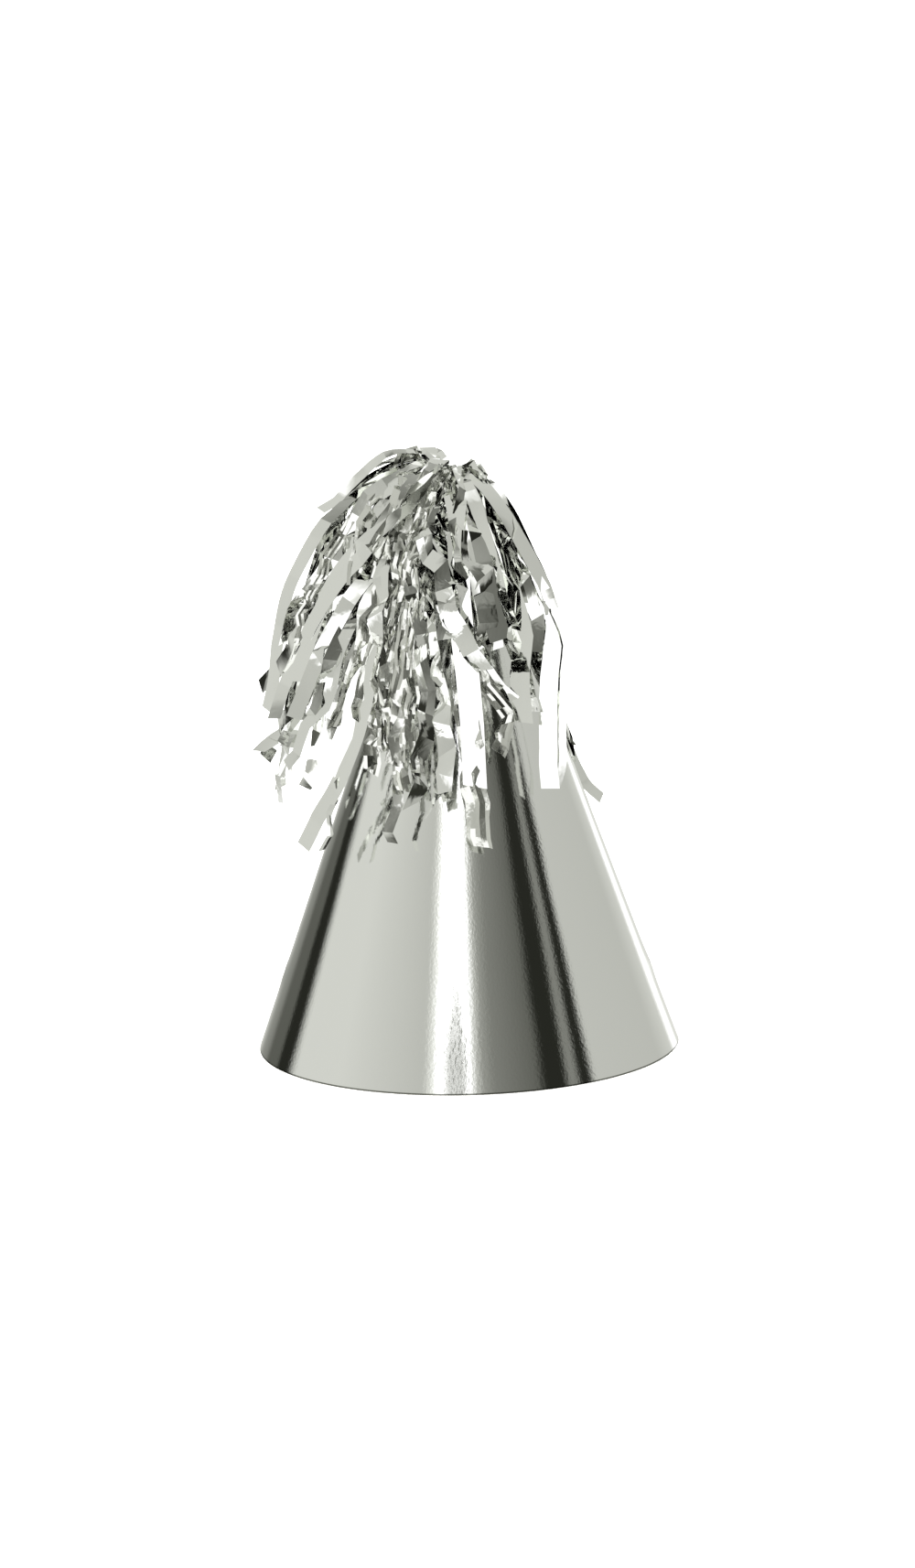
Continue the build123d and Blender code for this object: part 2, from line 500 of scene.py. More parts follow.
@dataclass(frozen=True)
class SlitFilm:
    """Aluminised polyester film, slit into strips: thinner than the laminate and brighter.

    name says what the film is and how it was treated, fleck is the size of its fine dents, and dent
    their depth.
    """

    name: str = "aluminised_film_slit"
    colour: str = "f9faf7"
    roughness: float = 0.05
    fleck: float = 6.0 * MM
    dent: float = 0.09 * MM

    def material(self) -> Material:
        """Makes the finish, on the strip's UV map in metres.

        Returns:
            The material.
        """
        material, tree, shader = new_material(self.name)
        place = add_node(tree, "UVMap", uv_map="flat")
        pattern = {"Vector": place, "Scale": 1 / self.fleck, "Detail": 2.0, "Distortion": 0.4}
        dents = add_node(tree, "TexNoise", pattern)
        bump = add_node(tree, "Bump", {"Height": dents, "Distance": self.dent})
        sockets = {
            "Base Color": linear(self.colour),
            "Metallic": 1.0,
            "Roughness": self.roughness,
            "Normal": bump,
        }
        fill(tree, shader, sockets)
        return material


@dataclass(frozen=True)
class Matte:
    """A plain dull stuff with a mottle and a fine bump: card, glue or coated wire.

    first and second are the mottle's two colours, mottle its size, grain the fine bump's size and
    depth how deep that is. A clear stuff lets light in by subsurface, to about scatter.
    """

    name: str
    first: str
    second: str
    roughness: float
    mottle: float
    grain: float
    depth: float
    metallic: float = 0.0
    subsurface: float = 0.0
    scatter: float = 1.5 * MM
    ior: float = 1.5

    def material(self) -> Material:
        """Makes the finish, on object coordinates.

        Returns:
            The material.
        """
        material, tree, shader = new_material(self.name)
        place = add_node(tree, "TexCoord").outputs["Object"]
        spots, fibre = (
            add_node(tree, "TexNoise", {"Vector": place, "Scale": 1 / size, "Detail": detail})
            for size, detail in ((self.mottle, 3.0), (self.grain, 4.0))
        )
        ramp = add_node(tree, "ValToRGB", {0: spots})
        stops = ((0.35, self.first), (0.65, self.second))
        for stop, (share, colour) in zip(ramp.color_ramp.elements, stops):
            stop.position, stop.color = share, linear(colour)
        sockets = {
            "Base Color": ramp,
            "Roughness": self.roughness,
            "Metallic": self.metallic,
            "Normal": add_node(tree, "Bump", {"Height": fibre, "Distance": self.depth}),
        }
        if self.metallic == 0.0:
            sockets["IOR"] = self.ior
        if self.subsurface > 0.0:
            sockets["Subsurface Weight"] = self.subsurface
            sockets["Subsurface Radius"] = (1.0, 0.9, 0.7)
            sockets["Subsurface Scale"] = self.scatter
        fill(tree, shader, sockets)
        return material


# White paperboard, uncoated: flat white with faint fibres, and no gloss.
WHITE_CARD = Matte(
    "white_paperboard_uncoated", "f2f1ec", "e8e7e0", 0.82, 9 * MM, 0.6 * MM, 0.02 * MM
)
# Dried white glue in the seam: slightly yellow and glossier than the card.
DRIED_GLUE = Matte("pva_glue_dried", "e6e2d2", "d8d3bf", 0.35, 3 * MM, 1.2 * MM, 0.03 * MM)
# Hot-melt glue, set from the gun: milky, waxy, with soft lumps.
HOT_MELT = Matte(
    "hot_melt_glue_set", "e9e4d0", "dcd5bb", 0.28, 4 * MM, 2.4 * MM, 0.12 * MM,
    subsurface=0.35, ior=1.48,
)  # fmt: skip
# Annealed iron tie wire, drawn: dull grey, with a little rust bloom.
TIE_WIRE = Matte(
    "annealed_tie_wire", "6f6e6a", "54524d", 0.42, 1.5 * MM, 0.25 * MM, 0.01 * MM, metallic=1.0
)


# ------------------------------------------------------------------ the cone
@dataclass(frozen=True)
class ConeShape:
    """The outside of the cone: a straight flare from the rim to the cut tip."""

    rim_radius: float
    tip_height: float
    apex_height: float = 172 * MM

    @classmethod
    def from_frame(cls) -> ConeShape:
        """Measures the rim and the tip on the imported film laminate."""
        low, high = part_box("film_laminate")
        return cls(rim_radius=-low.y, tip_height=high.z)

    @property
    def flare(self) -> float:
        """Radius gained for each metre of drop."""
        return self.rim_radius / self.apex_height

    @property
    def slant(self) -> float:
        """Height gained for each metre up the wall."""
        return math.cos(math.atan(self.flare))

    def radius(self, height: float) -> float:
        """Radius of the outside at a height above the rim, or 0 above the apex."""
        return max(0.0, (self.apex_height - height) * self.flare)


@dataclass
class RolledCone:
    """The card blank and the film on it, rolled up and lapped over at the back.

    The blank starts at the seam and goes once round; its last part climbs over its start. Turns
    are degrees from the seam's start. column and row are the grid's steps, which are finer by
    finer_across and finer_up within hole_reach hole radii of a hole, and climb_column at the climb.
    wave is how far the wall is off a true cone, seam_true how far that stays away from the seam,
    and dimple how far the punch pushed the card out at each hole.
    """

    shape: ConeShape
    film: float = 0.10 * MM
    card: float = 0.38 * MM
    seam_rise: float = 0.58 * MM
    seam_start: float = 90.0
    climb_from: float = 357.5
    lap_end: float = 371.0
    column: float = 1.25
    row: float = 1.7 * MM
    finer_across: float = 3
    finer_up: float = 3.6
    climb_column: float = 0.31
    hole_radius: float = 1.5 * MM
    hole_height: float = 22 * MM
    hole_reach: float = 2.4
    hole_turns: tuple[float, float] = (90.0, 270.0)
    wave: float = 0.07 * MM
    wave_length: float = 38 * MM
    seam_true: tuple[float, float] = (13, 33)
    dimple: float = 0.25 * MM
    dimple_reach: float = 2.6
    flat_level: float = 40 * MM
    smooth_to: float = 40

    def build(self) -> list[Object]:
        """Rolls the card and the film, and dresses both.

        Returns:
            The card and the film.
        """
        film = self._roll("rolled_film", 0.0, self.film)
        card = self._roll("rolled_card", self.film / self.shape.slant, self.card)
        dress(film, LaminatedFilm().material())
        dress(card, WHITE_CARD.material())
        hold(film, "film_laminate")
        hold(card, "card_cone")
        return [film, card]

    def _stations(self) -> tuple[list[float], list[float]]:
        """Sets out the blank's grid, closer round the holes and at the climb.

        Returns:
            Turns in degrees from the seam's start, and heights in metres.
        """
        turns = self._spread(0.0, self.lap_end, self.column)
        rise = self.hole_reach * self.hole_radius
        reach = math.degrees(rise / self.shape.radius(self.hole_height))
        for centre in self.hole_turns:
            turns = [t for t in turns if abs(t - centre) > reach]
            turns += self._spread(centre - reach, centre + reach, self.column / self.finer_across)
        # The steps are finer from a little before the climb to a little past the full turn.
        turns = [t for t in turns if not self.climb_from - 1 < t < 361]
        turns += self._spread(self.climb_from - 0.6, 360.6, self.climb_column)
        low, high = self.hole_height - rise, self.hole_height + rise
        heights = self._spread(0.0, self.shape.tip_height, self.row)
        heights = [h for h in heights if abs(h - self.hole_height) > rise]
        heights += self._spread(low, high, self.row / self.finer_up)
        return sorted(turns), sorted(heights)

    @staticmethod
    def _spread(first: float, last: float, step: float) -> list[float]:
        """Even stations from first to last, about a step apart."""
        count = max(1, round((last - first) / step))
        return [first + (last - first) * i / count for i in range(count + 1)]

    def _lift(self, turn: float) -> float:
        """How far the blank stands off the cone at a turn, for its lap over the seam."""
        share = ramped(turn, self.climb_from, 360)
        return self.seam_rise * share * share * (3 - 2 * share)

    def _unevenness(self, azimuth: float, height: float) -> float:
        """Finds how far rolling and punching leave the wall off a true cone; the seam stays true.

        Args:
            azimuth: Azimuth in degrees.
            height: Height above the rim.

        Returns:
            The distance outwards.
        """
        seam = abs((azimuth - self.seam_start + 180) % 360 - 180)
        place = around(math.radians(azimuth), 2.1, height / self.wave_length + 4.3)
        soft = noise.noise(place) + 0.35 * noise.noise(place * 2.3)
        off = self.wave * soft * ramped(seam, *self.seam_true)
        for centre in self.hole_turns:
            aside = math.radians((azimuth - self.seam_start - centre + 180) % 360 - 180)
            gap = math.hypot(aside * self.shape.radius(height), height - self.hole_height)
            # The punch pushes the card out a little all round each hole.
            spread = self.dimple_reach * self.hole_radius
            off += self.dimple * math.exp(-((gap / spread) ** 2))
        return off

    def _roll(self, name: str, inset: float, thickness: float) -> Object:
        """Rolls one layer of the blank, punches it and gives it its thickness inwards.

        Args:
            name: The piece's name.
            inset: How far its outside lies inside the cone's outside.
            thickness: The layer's thickness.

        Returns:
            The finished piece.
        """
        turns, heights = self._stations()
        across, up = len(turns) - 1, len(heights) - 1
        select_nothing()
        bpy.ops.mesh.primitive_grid_add(x_subdivisions=across, y_subdivisions=up, size=1)
        piece = bpy.context.object
        piece.name = piece.data.name = name
        mesh = piece.data
        where: list[tuple[float, float]] = []
        for vertex in mesh.vertices:
            i = round((vertex.co.x + 0.5) * across)
            j = round((vertex.co.y + 0.5) * up)
            where.append((turns[i], heights[j]))
        where = self._punch(piece, where)
        for vertex, (turn, height) in zip(mesh.vertices, where):
            azimuth = self.seam_start + turn
            radius = self.shape.radius(height) - inset + self._lift(turn)
            radius += self._unevenness(azimuth, height)
            vertex.co = around(math.radians(azimuth), radius, height)
        mean = self.shape.radius(self.flat_level)
        map_flat(mesh, [(math.radians(turn) * mean, height) for turn, height in where])
        apply_modifier(piece, "SOLIDIFY", thickness=thickness, offset=-1.0, use_even_offset=True)
        shade_by_angle(piece, self.smooth_to)
        return piece

    def _punch(
        self, piece: Object, where: list[tuple[float, float]]
    ) -> list[tuple[float, float]]:
        """Cuts the two elastic holes in the flat grid and rounds their edges.

        Args:
            piece: The grid.
            where: Turn and height of each of its points.

        Returns:
            Turn and height of each point that is left, the holes' edges pulled onto circles.
        """
        mesh = piece.data
        wall, slant = self.shape.radius(self.hole_height), self.shape.slant

        def offset(turn: float, height: float, centre: float) -> tuple[float, float]:
            """Distance from a hole's middle, round the cone and up its wall."""
            return math.radians(turn - centre) * wall, (height - self.hole_height) / slant

        doomed: set[int] = set()
        for face in mesh.polygons:
            turn = sum(where[v][0] for v in face.vertices) / len(face.vertices)
            height = sum(where[v][1] for v in face.vertices) / len(face.vertices)
            gaps = [math.hypot(*offset(turn, height, centre)) for centre in self.hole_turns]
            if min(gaps) < self.hole_radius:
                doomed.add(face.index)
        edge: set[int] = set()
        kept: set[int] = set()
        for face in mesh.polygons:
            (edge if face.index in doomed else kept).update(face.vertices)
        for v in edge & kept:
            turn, height = where[v]
            centre = min(self.hole_turns, key=lambda c: abs(turn - c))
            a, b = offset(turn, height, centre)
            grow = self.hole_radius / math.hypot(a, b)
            turn, height = math.degrees(a * grow / wall), b * grow * slant
            where[v] = (centre + turn, self.hole_height + height)
        for part in (*mesh.vertices, *mesh.edges):
            part.select = False
        for face in mesh.polygons:
            face.select = face.index in doomed
        bpy.ops.object.mode_set(mode="EDIT")
        bpy.ops.mesh.select_mode(type="FACE")
        bpy.ops.mesh.delete(type="FACE")
        bpy.ops.object.mode_set(mode="OBJECT")
        lost = edge - kept
        return [place for v, place in enumerate(where) if v not in lost]


# ------------------------------------------------------------------ the bundle
@dataclass
class FringeBundle:
    """The fringe film's uncut end: pleated, bundled and pushed through the tip.

    It runs from low to crown. The wire ties it in by waist_pull at the waist, over about waist_half
    each way. It flares over its top share, flare, and its ends are ragged over the share frayed.
    Each pleat is made of sides faces, divided by cuts on their way up, and it wanders sideways
    about once in the length wander.
    """

    low: float = 137.2 * MM
    waist: float = 144.7 * MM
    waist_half: float = 2.4 * MM
    waist_pull: float = 0.10
    crown: float = 165.5 * MM
    pleats: int = 17
    sides: int = 6
    cuts: int = 22
    radius: float = 3.3 * MM
    crown_radius: float = 4.3 * MM
    flare: float = 0.28
    pleat_depth: float = 0.42 * MM
    wander: float = 7 * MM
    frayed: float = 0.2
    ragged: float = 0.8 * MM
    smooth_to: float = 26

    def build(self) -> Object:
        """Shapes the bundle from a cylinder, and dresses it.

        Returns:
            The bundle.
        """
        select_nothing()
        middle, height = (self.low + self.crown) / 2, self.crown - self.low
        bpy.ops.mesh.primitive_cylinder_add(
            vertices=self.pleats * self.sides,
            radius=self.radius,
            depth=height,
            location=(0, 0, middle),
        )
        piece = bpy.context.object
        piece.name = piece.data.name = "fringe_bundle"
        bpy.ops.object.transform_apply(location=True, rotation=True, scale=True)
        self._divide(piece)
        flat = []
        for vertex in piece.data.vertices:
            vertex.co = self._pleat(vertex.co)
            flat.append((math.atan2(vertex.co.y, vertex.co.x) * self.radius, vertex.co.z))
        map_flat(piece.data, flat)
        shade_by_angle(piece, self.smooth_to)
        dress(piece, CRIMPED.material())
        hold(piece, "fringe_stem")
        return piece

    def _divide(self, piece: Object) -> None:
        """Divides the upright edges, so that the pleats can wander on their way up.

        Args:
            piece: The cylinder.
        """
        mesh = piece.data
        bpy.ops.object.mode_set(mode="EDIT")
        bpy.ops.mesh.select_mode(type="EDGE")
        bpy.ops.mesh.select_all(action="DESELECT")
        bpy.ops.object.mode_set(mode="OBJECT")
        for edge in mesh.edges:
            a, b = (mesh.vertices[v].co for v in edge.vertices)
            edge.select = abs(a.z - b.z) > MM
        bpy.ops.object.mode_set(mode="EDIT")
        bpy.ops.mesh.subdivide(number_cuts=self.cuts)
        bpy.ops.object.mode_set(mode="OBJECT")

    def _pleat(self, place: Vector) -> Vector:
        """Moves one point of the cylinder into its pleat.

        Args:
            place: The point.

        Returns:
            Where it goes.
        """
        azimuth = math.atan2(place.y, place.x)
        climb = (place.z - self.low) / (self.crown - self.low)
        wander = 0.5 * noise.noise(around(azimuth, 1.0, place.z / self.wander))
        fold = math.asin(math.sin(self.pleats * (azimuth + 0.25 * wander))) / (math.pi / 2)
        flared = max(0.0, climb - (1 - self.flare)) / self.flare
        grow = self.radius + (self.crown_radius - self.radius) * flared
        waist = 1 - self.waist_pull * math.exp(-(((place.z - self.waist) / self.waist_half) ** 2))
        radius = (grow + self.pleat_depth * (fold + wander)) * waist
        ragged = self.ragged * noise.noise(around(azimuth, 4.0, 9.1))
        top, foot = climb - (1 - self.frayed), self.frayed - climb
        rise = ragged * (max(0.0, top) - max(0.0, foot)) / self.frayed
        if math.hypot(place.x, place.y) < self.radius * 0.5:
            radius = 0.0
        return around(azimuth, radius, place.z + rise)


# ------------------------------------------------------------------ the fringe
class Kind(Enum):
    """How a strip of the fringe has been handled."""

    PLAIN = 0
    CREASED = 1
    CRINKLED = 2


@dataclass(frozen=True)
class Habit:
    """How strips of one kind crease.

    spacing is between creases, zigzag how far alternate creases stand off the strip's line, drift
    how far they stray sideways, turn the spread of the twist in radians, keep the share of it
    carried on to the next crease, skew the steepest slope of a crease across the strip, follow how
    much of the line's own bend shows between creases, bow the bulge there as a share of the
    spacing, rough the depth of dents across the strip, rows and columns the grid of each facet, and
    width the least and most width.
    """

    spacing: tuple[float, float]
    zigzag: tuple[float, float]
    drift: float
    turn: float
    keep: float
    skew: float
    follow: float
    bow: float
    rough: float
    rows: int
    columns: int
    width: tuple[float, float]


HABITS = {
    Kind.PLAIN: Habit(
        spacing=(10 * MM, 22 * MM), zigzag=(0.1 * MM, 0.5 * MM), drift=0.4 * MM, turn=0.11,
        keep=0.75, skew=0.35, follow=1.0, bow=0.02, rough=0.05 * MM, rows=5, columns=2,
        width=(3.9 * MM, 5.2 * MM),
    ),
    Kind.CREASED: Habit(
        spacing=(4.0 * MM, 9.5 * MM), zigzag=(0.4 * MM, 1.3 * MM), drift=0.8 * MM, turn=0.36,
        keep=0.6, skew=0.6, follow=0.5, bow=0.04, rough=0.12 * MM, rows=3, columns=2,
        width=(3.6 * MM, 5.2 * MM),
    ),
    Kind.CRINKLED: Habit(
        spacing=(2.2 * MM, 5.6 * MM), zigzag=(0.15 * MM, 0.5 * MM), drift=0.5 * MM, turn=0.30,
        keep=0.6, skew=0.9, follow=0.2, bow=0.03, rough=0.32 * MM, rows=2, columns=5,
        width=(2.8 * MM, 4.6 * MM),
    ),
}  # fmt: skip

# Flat strips: a clean mirror with barely a dent. Creased ones: soft dents between the folds.
# Crimped ones: gathered film, whose fine wrinkles dull it. Its colour is also darker than the flat
# film's, which is painted shade of the hollows among its wrinkles.
PLAIN_FILM = SlitFilm()
CREASED_FILM = SlitFilm("aluminised_film_slit_creased", "f4f5f2", 0.06, 3.2 * MM, 0.10 * MM)
CRIMPED = SlitFilm("aluminised_film_slit_crimped", "e8e9e4", 0.16, 1.6 * MM, 0.09 * MM)


@dataclass
class Line:
    """A strip's line: a smooth curve through points, measured along its length."""

    points: Sequence[Vector]
    step: float = 0.5 * MM
    path: list[Vector] = field(default_factory=list)
    marks: list[float] = field(default_factory=list)

    def __post_init__(self) -> None:
        """Samples the curve and measures it."""
        points = [2 * self.points[0] - self.points[1], *self.points]
        points.append(2 * self.points[-1] - self.points[-2])
        for a, b, c, d in zip(points, points[1:], points[2:], points[3:]):
            count = max(2, round((c - b).length / self.step))
            for i in range(count):
                self.path.append(self._between(a, b, c, d, i / count))
        self.path.append(points[-2].copy())
        self.marks = [0.0]
        for a, b in zip(self.path, self.path[1:]):
            self.marks.append(self.marks[-1] + (b - a).length)

    @staticmethod
    def _between(a: Vector, b: Vector, c: Vector, d: Vector, t: float) -> Vector:
        """A Catmull-Rom curve's point at share t of the way from b to c."""
        second, third = 2 * a - 5 * b + 4 * c - d, 3 * b - a - 3 * c + d
        return 0.5 * (2 * b + (c - a) * t + second * t**2 + third * t**3)

    @property
    def length(self) -> float:
        """The line's whole length."""
        return self.marks[-1]

    def at(self, mark: float) -> tuple[Vector, Vector]:
        """Gives the place and direction at a length along the line.

        Args:
            mark: Length from the line's start.

        Returns:
            The point, and the unit tangent there.
        """
        mark = min(max(mark, 0.0), self.length)
        low = min(bisect_right(self.marks, mark), len(self.marks) - 1) - 1
        gap = max(self.marks[low + 1] - self.marks[low], 1e-9)
        place = self.path[low].lerp(self.path[low + 1], (mark - self.marks[low]) / gap)
        ahead = self.path[min(low + 2, len(self.path) - 1)] - self.path[max(low - 1, 0)]
        return place, ahead.normalized()


@dataclass(frozen=True)
class Strip:
    """One strip of the fringe: what it is and the points that its middle runs through.

    lead is the level direction in which it hangs, and face the level direction to which its outside
    is turned. fixed says whether that holds all along it, or turns with the strip round the cone.
    """

    kind: Kind
    width: float
    points: tuple[Vector, ...]
    lead: Vector
    face: Vector
    fixed: bool


@dataclass(frozen=True)
class Crease:
    """One crease across a strip: its mark on the line, its middle, direction, slope and dents."""

    mark: float
    place: Vector
    facing: Vector
    skew: float
    heights: tuple[float, ...]


@dataclass
class Ribbon:
    """Gathers strips into one mesh: their points, faces, flat map and finishes.

    films are the finishes in the order of Kind. clear is how near the cone a strip may come, least
    and most, in millimetres: it applies from held on along the strip, and in full from settled on.
    Up to gathered the strip strays little from its line. steady is the share of the twist that a
    strip with a fixed face has, and lean how much the others turn to their own face. smooth_to is
    the sharpest fold that is shaded smooth, in degrees.
    """

    shape: ConeShape
    films: list[Material]
    clear: tuple[float, float] = (0.5, 1.3)
    gathered: float = 8 * MM
    held: float = 9 * MM
    settled: float = 12 * MM
    above_tip: float = 5 * MM
    steady: float = 0.4
    lean: float = 0.6
    smooth_to: float = 14
    points: list[Vector] = field(default_factory=list)
    faces: list[tuple[int, ...]] = field(default_factory=list)
    flat: list[tuple[float, float]] = field(default_factory=list)
    finish: list[int] = field(default_factory=list)
    area: float = 0.0
    widths: float = 0.0
    longest: float = 0.0

    def lay(self, strip: Strip, rng: random.Random) -> None:
        """Lays one strip along its line, creased as its kind is.

        Args:
            strip: The strip.
            rng: Where its creases come from.
        """
        habit = HABITS[strip.kind]
        line = Line(strip.points)
        marks = self._creases(line.length, habit, rng)
        clear = rng.uniform(*self.clear) * MM
        turn = habit.turn * (self.steady if strip.fixed else 1.0)
        twist, side = rng.gauss(0, turn), rng.choice((-1, 1))
        dents = [rng.gauss(0, habit.rough) for _ in range(habit.columns + 1)]
        reach = 0.45 * habit.spacing[0] / (strip.width / 2)
        creases = []
        for mark in marks:
            place, along = line.at(mark)
            across, out = self._frame(place, along, strip)
            side = -side
            loose = min(1.0, mark / self.gathered)
            stand = side * rng.uniform(*habit.zigzag) * loose
            stray = rng.gauss(0, habit.drift) * loose
            twist = twist * habit.keep + rng.gauss(0, turn)
            dents = [0.55 * dent + rng.gauss(0, 0.8 * habit.rough) for dent in dents]
            skew = max(-reach, min(reach, rng.uniform(-habit.skew, habit.skew)))
            middle = place + out * stand + across * stray
            facing = across * math.cos(twist) + out * math.sin(twist)
            creases.append(Crease(mark, middle, facing, skew, tuple(dents)))
        rows = []
        for one, two in zip(creases, creases[1:]):
            bow = rng.uniform(-1, 1) * habit.bow * (two.mark - one.mark)
            steps = habit.rows + (two is creases[-1])
            for i in range(steps):
                rows.append(self._row(line, one, two, i / habit.rows, bow, strip, clear))
        self._knit(rows, strip, habit.columns)

    @staticmethod
    def _creases(length: float, habit: Habit, rng: random.Random) -> list[float]:
        """Picks where along a strip its creases are.

        Args:
            length: The strip's length.
            habit: How it creases.
            rng: Where the spacing comes from.

        Returns:
            The creases' marks, with the strip's start and end.
        """
        marks = [0.0]
        following = rng.uniform(*habit.spacing)
        while following <= length - 0.4 * habit.spacing[0]:
            marks.append(following)
            following += rng.uniform(*habit.spacing)
        return [*marks, length]

    def _frame(self, place: Vector, along: Vector, strip: Strip) -> tuple[Vector, Vector]:
        """Finds the directions across a strip and out from it.

        Args:
            place: A point on the strip.
            along: The strip's direction there.
            strip: The strip.

        Returns:
            Unit vectors across the strip and outwards from it.
        """
        level = (Vector((place.x, place.y, 0)) + strip.lead * (5 * MM)).normalized()
        guide = strip.face if strip.fixed else level + self.lean * strip.face
        # Over the crown the outside is the upper side.
        guide = guide * (0.25 + max(-along.z, 0.0)) + UP * max(along.dot(level), 0.0)
        out = (guide - along * guide.dot(along)).normalized()
        return along.cross(out), out

    def _row(
        self,
        line: Line,
        one: Crease,
        two: Crease,
        share: float,
        bow: float,
        strip: Strip,
        clear: float,
    ) -> list[tuple[Vector, tuple[float, float]]]:
        """Sets out one row of points across a strip, kept outside the cone.

        Args:
            line: The strip's line.
            one: The crease before the row.
            two: The crease after it.
            share: How far the row is from one to two.
            bow: How far the film bulges half way between them.
            strip: The strip.
            clear: How near to the cone the strip may come.

        Returns:
            Each point with its place on the flat strip.
        """
        habit = HABITS[strip.kind]
        mark = one.mark + (two.mark - one.mark) * share
        curve, along = line.at(mark)
        chord = line.at(one.mark)[0].lerp(line.at(two.mark)[0], share)
        middle = one.place.lerp(two.place, share) + (curve - chord) * habit.follow
        facing = one.facing.lerp(two.facing, share).normalized()
        run = (two.place - one.place).normalized() * (1 - habit.follow) + along * habit.follow
        run = (run - facing * run.dot(facing)).normalized()
        up = facing.cross(run)
        skew = one.skew + (two.skew - one.skew) * share
        row = []
        for column in range(habit.columns + 1):
            side = (2 * column / habit.columns - 1) * strip.width / 2
            high = one.heights[column] + (two.heights[column] - one.heights[column]) * share
            high += bow * 4 * share * (1 - share)
            point = middle + facing * side + run * (side * skew) + up * high
            least = self.shape.radius(point.z) + clear * min(1.0, mark / self.settled)
            reach = math.hypot(point.x, point.y)
            beside = mark > self.held and point.z < self.shape.tip_height + self.above_tip
            if beside and 0 < reach < least:
                point = Vector((point.x * least / reach, point.y * least / reach, point.z))
            row.append((point, (mark + side * skew, side)))
        return row

    def _knit(self, rows: Sequence, strip: Strip, columns: int) -> None:
        """Adds a strip's rows to the mesh as faces, and its size to the sums.

        Args:
            rows: Its rows of points, each with its place on the flat strip.
            strip: The strip.
            columns: How many faces it has across.
        """
        base, wide = len(self.points), columns + 1
        # Each strip lies somewhere else on the flat film, so that no two have the same dents.
        drift = (0.013 * (base % 97), 0.017 * (base % 89))
        run = 0.0
        for number, row in enumerate(rows):
            for point, place in row:
                self.points.append(point)
                self.flat.append((place[0] + drift[0], place[1] + drift[1]))
            if number:
                run += (row[columns // 2][0] - rows[number - 1][columns // 2][0]).length
                for column in range(columns):
                    a = base + (number - 1) * wide + column
                    self.faces.append((a, a + 1, a + wide + 1, a + wide))
                    self.finish.append(strip.kind.value)
        self.area += run * strip.width
        self.widths += strip.width
        self.longest = max(self.longest, run)

    def piece(self, name: str, thickness: float) -> Object:
        """Makes the mesh, gives it its thickness and dresses it.

        Args:
            name: The piece's name.
            thickness: The film's thickness.

        Returns:
            The piece.
        """
        mesh = bpy.data.meshes.new(name)
        mesh.from_pydata(self.points, [], self.faces)
        map_flat(mesh, self.flat)
        for film in self.films:
            mesh.materials.append(film)
        mesh.polygons.foreach_set("material_index", self.finish)
        piece = bpy.data.objects.new(name, mesh)
        bpy.context.scene.collection.objects.link(piece)
        apply_modifier(piece, "SOLIDIFY", thickness=thickness, offset=0.0)
        shade_by_angle(piece, self.smooth_to)
        return piece


@dataclass(frozen=True)
class Lock:
    """One of the six locks that hang round the crown.

    bearing is its azimuth, spread the half angle it fills, reach its radius in millimetres at each
    of the shared levels, crest the radius and height where it folds over, ends the least and most
    height of its strips' ends, and counts how many strips each leaf has beside those listed.
    """

    name: str
    bearing: float
    spread: float
    reach: tuple[float, float, float, float]
    crest: tuple[float, float]
    ends: tuple[float, float]
    counts: tuple[int, int, int]


@dataclass(frozen=True)
class Laid:
    """A listed strip: its width, the way it faces, and its points, all in millimetres.

    face is the bearing to which its outside is turned, in degrees from the front towards +X.
    """

    width: float
    face: float
    points: tuple[tuple[float, float, float], ...]


LOCKS = (
    Lock("front", -90, 30, (20, 28, 32, 40), (6, 168), (116, 142), (0, 3, 7)),
    Lock("front_right", -30, 30, (14, 25, 29, 31), (4, 165.5), (128, 150), (3, 4, 4)),
    Lock("back_right", 30, 24, (14, 24, 27.5, 28.5), (5, 166), (76, 98), (11, 10, 7)),
    Lock("back", 90, 30, (26, 34, 38, 43), (8, 166), (66, 98), (12, 11, 9)),
    Lock("back_left", 150, 30, (36, 45, 49, 53), (13, 172), (72, 98), (12, 9, 5)),
    Lock("front_left", 210, 30, (34, 43, 46, 50), (13, 172), (92, 118), (0, 4, 6)),
)

# Each leaf's name, how far out it hangs, the kind of its listed strips, and how likely each kind
# is among the others.
LAYERS = (
    ("outer", 0.97, Kind.PLAIN, (5, 3, 1)),
    ("middle", 0.78, Kind.CREASED, (2, 5, 3)),
    ("inner", 0.52, Kind.CRINKLED, (1, 2, 6)),
)
